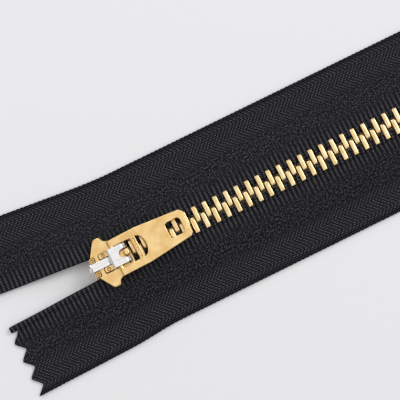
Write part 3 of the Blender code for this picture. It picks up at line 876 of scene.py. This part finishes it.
def makeHook(name, h):
    top = bodyTop + h["height"]
    piece = cube(name, (h["start"], -h["half"], bodyTop - h["root"]), (h["end"], h["half"], top))
    edit(piece)
    pick("edges", lambda e: all(v.co.z > top - 0.01 * mm for v in e.verts)
         or abs(e.verts[0].co.z - e.verts[1].co.z) > 0.1 * mm)
    bpy.ops.mesh.bevel(offset=h["rounding"], segments=3, affect="EDGES")
    bpy.ops.object.mode_set(mode="OBJECT")
    return piece


prong = {"inner": 0.63 * mm, "outer": 1.98 * mm, "start": 6.55 * mm, "depth": 1.3 * mm}

body = makeSlider("sliderBody", slider)
for side in (1, -1):
    ys = (side * lug["innerY"], side * lug["outerY"])
    addLug(body, lug["start"], lug["end"], *ys, lug["height"])
    addLug(body, lug["noseStart"], lug["noseEnd"], *ys, lug["noseHeight"])
    low, high = sorted((side * prong["inner"], side * prong["outer"]))
    notch = cube("notch", (prong["start"], low, bodyTop - prong["depth"]),
                 (rearX - noseX + overcut, high, bodyTop + overcut))
    join(body, notch, "DIFFERENCE")
join(body, makeHook("hook", hook), "UNION")
body.data.transform(Matrix.Translation((noseX, 0, 0)))
shade(body, angle=35)
ready(body, "slider", ["slider_body"], sliderBrass)
print("slider body made")


# lock spring

spring = {
    "thickness": 0.35 * mm,
    "hookHalf": 0.55 * mm,
    "tongueHalf": 0.72 * mm,
    "plateHalf": 1.78 * mm,
    "overBody": 0.55 * mm,
    "hookDown": 1.6 * mm,
    "shoulderDown": 0.55 * mm,  # the strip leans back from the hook into the tongue
    "shoulderBack": 0.42 * mm,
    "overBar": 0.25 * mm,
    "barRadius": 0.5 * mm,
    "riserFoot": 0.35 * mm,  # before the riser's middle
    "riserLean": 0.10 * mm,
    "widensAt": 0.30 * mm,  # over the tongue, where the strip goes out to the plate's width
    "widening": 0.04 * mm,
    "bend": 0.34 * mm,
    "notchHalf": 0.83 * mm,
    "notchStart": 5.4 * mm,
    "prongX": 7.125 * mm,
    "prongCorner": 0.62 * mm,
    "prongDown": 0.765 * mm,  # into the body
    "gap": 0.3 * mm,
    "edge": 0.06 * mm,
}


def bentPath(corners, radius, steps=4):
    # corners are (x, z, half width); every inner corner becomes a short arc
    path = [corners[0]]
    for before, at, after in zip(corners, corners[1:], corners[2:]):
        a, b, c = (Vector((p[0], 0, p[1])) for p in (before, at, after))
        reach = min(radius, 0.45 * (a - b).length, 0.45 * (c - b).length)
        start, end = b + (a - b).normalized() * reach, b + (c - b).normalized() * reach
        for k in range(steps + 1):
            t = k / steps
            p = start * (1 - t) ** 2 + b * 2 * t * (1 - t) + end * t * t
            path.append((p.x, p.z, at[2]))
    return path + [corners[-1]]


def makeSpring(name, s):
    tongueZ = bodyTop + s["overBody"]
    plateZ = pivot.z + s["barRadius"] + s["overBar"] + s["thickness"] / 2
    front = -s["gap"] - s["thickness"] / 2
    riser = pivot.x - noseX - s["barRadius"] - s["gap"] - s["thickness"]
    lean, widensZ, corner = s["riserLean"], tongueZ + s["widensAt"], s["prongCorner"]
    corners = [
        (front, bodyTop - s["hookDown"], s["hookHalf"]),
        (front, tongueZ - s["shoulderDown"], s["hookHalf"]),
        (front + s["shoulderBack"], tongueZ, s["tongueHalf"]),
        (riser - s["riserFoot"], tongueZ, s["tongueHalf"]),
        (riser - lean - s["widening"] / 2, widensZ, s["tongueHalf"]),
        (riser - lean, widensZ + s["widening"], s["plateHalf"]),
        (riser + lean, plateZ, s["plateHalf"]),
        (s["prongX"] - corner, plateZ, s["plateHalf"]),
        (s["prongX"], plateZ - corner, s["plateHalf"]),
        (s["prongX"], bodyTop - s["prongDown"], s["plateHalf"]),
    ]
    path = bentPath(corners, s["bend"])
    x, z, half = path[0]
    deselect()
    bpy.ops.mesh.primitive_plane_add(size=2 * half, location=(x, 0, z), rotation=(0, math.pi / 2, 0))
    piece = settle(name)
    edit(piece)
    flat = 0.1
    bpy.ops.mesh.select_all(action="SELECT")
    bpy.ops.transform.resize(value=(1, 1, flat), center_override=(x, 0, z))
    # the first small face is drawn out along the path, one bend after another
    pick("verts", lambda v: v.co.z > z)
    at, width = Vector((x, 0, z + flat * half)), half
    for x, z, half in path[1:]:
        move = Vector((x, 0, z)) - at
        if move.length < 0.01 * mm:
            continue
        bpy.ops.mesh.extrude_edges_move(TRANSFORM_OT_translate={"value": move})
        bpy.ops.transform.resize(value=(1, half / width, 1), center_override=(x, 0, z))
        at, width = Vector((x, 0, z)), half
    bpy.ops.mesh.select_all(action="SELECT")
    bpy.ops.mesh.normals_make_consistent(inside=False)
    bpy.ops.object.mode_set(mode="OBJECT")
    bpy.ops.object.modifier_add(type="SOLIDIFY")
    wall = piece.modifiers[-1]
    wall.thickness, wall.offset = s["thickness"], 0
    bpy.ops.object.modifier_apply(modifier=wall.name)
    notchX = s["notchStart"] + s["notchHalf"]
    notch = cube("notch", (notchX, -s["notchHalf"], bodyTop - overcut),
                 (s["prongX"] + overcut, s["notchHalf"], plateZ + overcut))
    deselect()
    bpy.ops.mesh.primitive_cylinder_add(
        vertices=40, radius=s["notchHalf"], depth=2 * overcut, location=(notchX, 0, plateZ))
    notchEnd = settle("notchEnd")
    join(piece, notch, "DIFFERENCE")
    join(piece, notchEnd, "DIFFERENCE")
    finishEdges(piece, s["edge"], angle=45)
    piece.data.transform(Matrix.Translation((noseX, 0, 0)))
    shade(piece, angle=35)
    return piece


ready(makeSpring("lockSpring", spring), "spring", ["lock_spring"], springNickel)
print("lock spring made")


# pull tab

tab = {
    "length": 14.4 * mm,
    "half": 3.5 * mm,
    "endHalf": 2.68 * mm,
    "thickness": 1.0 * mm,
    "corner": 0.5 * mm,
    "window": 3.7 * mm,
    "windowHalf": 2.10 * mm,
    "windowCorner": 0.3 * mm,
    "crossBar": 0.9 * mm,
    "dHole": 1.35 * mm,
    "dHoleHalf": 2.05 * mm,
    "slot": 2.9 * mm,
    "slotHalf": 1.5 * mm,
    "slotToEnd": 1.1 * mm,
    "slotCorner": 0.6 * mm,
    "rim": 0.2 * mm,
    "groove": 0.16 * mm,
    "grooveShort": 0.25 * mm,  # of the window's sides
    "barRim": 0.12 * mm,
    "barShort": 0.01 * mm,
    "overTeeth": 0.3 * mm,  # under its far end
    "aside": -0.2 * mm,  # its play along the bar, taken up towards the right side
    "straighter": math.radians(1.2),
}


def roundedCutter(name, x0, x1, half, corner):
    piece = cube(name, (x0, -half, -overcut), (x1, half, overcut))
    edit(piece)
    pick("edges", lambda e: abs(e.verts[0].co.z - e.verts[1].co.z) > 1 * mm)
    bpy.ops.mesh.bevel(offset=corner, segments=5, affect="EDGES")
    bpy.ops.object.mode_set(mode="OBJECT")
    return piece


def makeTab(name, t):
    holeX = t["window"] + t["crossBar"]
    taperX = holeX + t["dHole"] / 2
    shoulder = t["length"] - t["corner"]

    def width(x):
        if x <= taperX:
            return t["half"]
        if x <= shoulder:
            return t["half"] + (t["endHalf"] - t["half"]) * (x - taperX) / (shoulder - taperX)
        return t["endHalf"] - (x - shoulder)

    thick = t["thickness"] / 2
    piece = outlined(name, [0.0, taperX, shoulder, t["length"]], width, -thick, thick)
    bpy.ops.object.mode_set(mode="OBJECT")
    slotEnd = t["length"] - t["slotToEnd"]
    window = roundedCutter("window", -overcut, t["window"], t["windowHalf"], t["windowCorner"])
    join(piece, window, "DIFFERENCE")
    slot = roundedCutter("slot", slotEnd - t["slot"], slotEnd, t["slotHalf"], t["slotCorner"])
    join(piece, slot, "DIFFERENCE")
    deselect()
    bpy.ops.mesh.primitive_cylinder_add(
        vertices=56, radius=1, depth=2 * overcut, scale=(t["dHole"], t["dHoleHalf"], 1))
    dHole = settle("dHole")
    edit(dHole)
    bpy.ops.mesh.select_all(action="SELECT")
    bpy.ops.mesh.bisect(plane_co=(0, 0, 0), plane_no=(1, 0, 0), clear_inner=True, use_fill=True)
    bpy.ops.mesh.select_all(action="SELECT")
    bpy.ops.transform.translate(value=(holeX, 0, 0))
    bpy.ops.object.mode_set(mode="OBJECT")
    join(piece, dHole, "DIFFERENCE")
    finishEdges(piece, t["rim"], angle=30, segments=3)
    # a pressed line along the cross bar
    deselect()
    bpy.ops.mesh.primitive_cylinder_add(
        vertices=12, radius=t["groove"], depth=2 * (t["windowHalf"] - t["grooveShort"]),
        location=(t["window"] + 0.5 * t["crossBar"], 0, thick), rotation=(math.pi / 2, 0, 0))
    join(piece, settle("groove"), "DIFFERENCE")
    deselect()
    bpy.ops.mesh.primitive_cylinder_add(
        vertices=32, radius=thick * 0.999, depth=2 * (t["half"] - t["barShort"]),
        rotation=(math.pi / 2, 0, 0))
    bar = settle("bar")
    finishEdges(bar, t["barRim"], angle=60)
    join(piece, bar, "UNION")
    drop = pivot.z - spanOf("left_tooth_20", 2)[1] - t["overTeeth"] - thick
    skew = math.atan2(tabAxis.x, -tabAxis.y) - t["straighter"]
    laid = Matrix.Rotation(skew, 4, "Z") @ Matrix.Rotation(math.asin(drop / t["length"]), 4, "Y")
    piece.data.transform(Matrix.Translation(pivot + Vector((0, t["aside"], 0))) @ laid)
    shade(piece, angle=35)
    return piece


ready(makeTab("pullTab", tab), "tab", ["pull_tab"], sliderBrass)
print("pull tab made")


# table, light and camera

studio = {
    "table": "EFEFF0",
    "azimuth": -26.3,
    "elevation": 83.0,
    "centre": (-16.56 * mm, 2.64 * mm, 5.0 * mm),
    "width": 72.3 * mm,
    "lens": 200.0,
    "roof": "FCFBFC",  # the light tent's roof, shoulders and walls
    "shoulders": "8C8C8F",
    "walls": "C4C5C8",
    "tent": 1.0,
    "lampsAt": (-15 * mm, 0, 0),
    "softboxSize": 0.20,
}

# each lamp's name, azimuth, elevation, distance and watts
softboxes = [
    ("keySoftbox", 100, 50, 0.55, 0.65),
    ("fillSoftbox", -120, 30, 0.60, 0.40),
    ("rearSoftbox", 175, 30, 0.60, 0.40),
]


def aimed(name, data, target, azimuth, elevation, distance):
    # a camera or lamp that looks at the target from this side
    a, e = math.radians(azimuth), math.radians(elevation)
    back = Vector((math.sin(a) * math.cos(e), -math.cos(a) * math.cos(e), math.sin(e)))
    made = bpy.data.objects.new(name, data)
    bpy.context.scene.collection.objects.link(made)
    made.location = Vector(target) + back * distance
    made.rotation_mode = "QUATERNION"
    made.rotation_quaternion = (-back).to_track_quat("-Z", "Y")
    return made


def makeCamera(s):
    lens = bpy.data.cameras.new("camera")
    lens.lens = s["lens"]
    lens.clip_start, lens.clip_end = 0.01, 10
    distance = s["width"] * s["lens"] / lens.sensor_width
    bpy.context.scene.camera = aimed("camera", lens, s["centre"], s["azimuth"], s["elevation"], distance)


def makeLight(s, name, azimuth, elevation, distance, watts):
    lamp = bpy.data.lights.new(name, "AREA")
    lamp.size, lamp.energy = s["softboxSize"], watts
    aimed(name, lamp, s["lampsAt"], azimuth, elevation, distance)


def makeTable(s):
    deselect()
    bpy.ops.mesh.primitive_plane_add(size=3)
    table = settle("table")
    paper, _, shader = newMaterial("matte white paper")
    shader.inputs["Base Color"].default_value = colour(s["table"])
    shader.inputs["Roughness"].default_value = 0.9
    table.data.materials.append(paper)


def makeWorld(s):
    world = bpy.data.worlds.new("studio")
    bpy.context.scene.world = world
    world.use_nodes = True
    tree = world.node_tree
    at = addNode(tree, "ShaderNodeTexCoord").outputs["Generated"]
    height = addNode(tree, "ShaderNodeSeparateXYZ", {}, {"Vector": at})
    tone = addNode(tree, "ShaderNodeValToRGB", {}, {0: height.outputs["Z"]})
    rampOf(tone, [(0.10, s["walls"]), (0.50, s["shoulders"]), (0.85, s["roof"])])
    background = tree.nodes["Background"]
    tree.links.new(tone.outputs["Color"], background.inputs["Color"])
    background.inputs["Strength"].default_value = s["tent"]


makeTable(studio)
makeCamera(studio)
for softbox in softboxes:
    makeLight(studio, *softbox)
makeWorld(studio)
bpy.context.scene.view_settings.view_transform = "Standard"
print("studio made")
